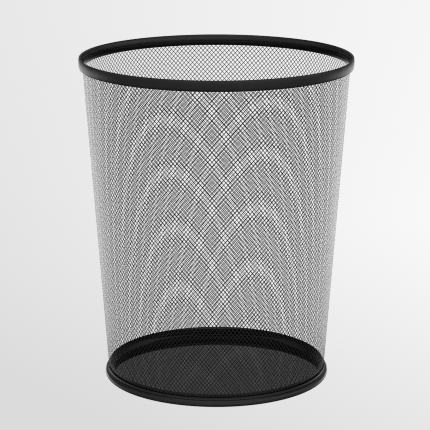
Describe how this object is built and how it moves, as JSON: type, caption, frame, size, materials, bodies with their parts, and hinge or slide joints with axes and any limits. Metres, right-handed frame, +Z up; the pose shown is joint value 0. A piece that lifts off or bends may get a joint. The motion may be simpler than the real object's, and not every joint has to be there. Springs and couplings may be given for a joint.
{
  "type": "mesh wastebasket",
  "caption": "Round tapered wastebasket of black coated diamond-mesh steel with a rolled top rim, a pressed base pan and a flared foot ring.",
  "frame": {"origin": "centre of the face that the foot ring stands on, on the basket's vertical axis", "axes": "+Z up along the axis of the basket; X and Y are level, and the basket is the same all the way round"},
  "size_m": [0.2946, 0.2946, 0.3529],
  "materials": {
    "mesh_coating": "black semi-gloss powder coat on expanded steel mesh",
    "sheet_coating": "black semi-gloss powder coat on rolled steel strip",
    "pan_coating": "black gloss coat on pressed steel sheet"
  },
  "bodies": {
    "root": {"wall_mesh": "mesh_coating", "top_rim": "sheet_coating", "rim_inner_band": "sheet_coating", "base_pan": "pan_coating", "foot_ring": "sheet_coating"}
  },
  "joints": []
}
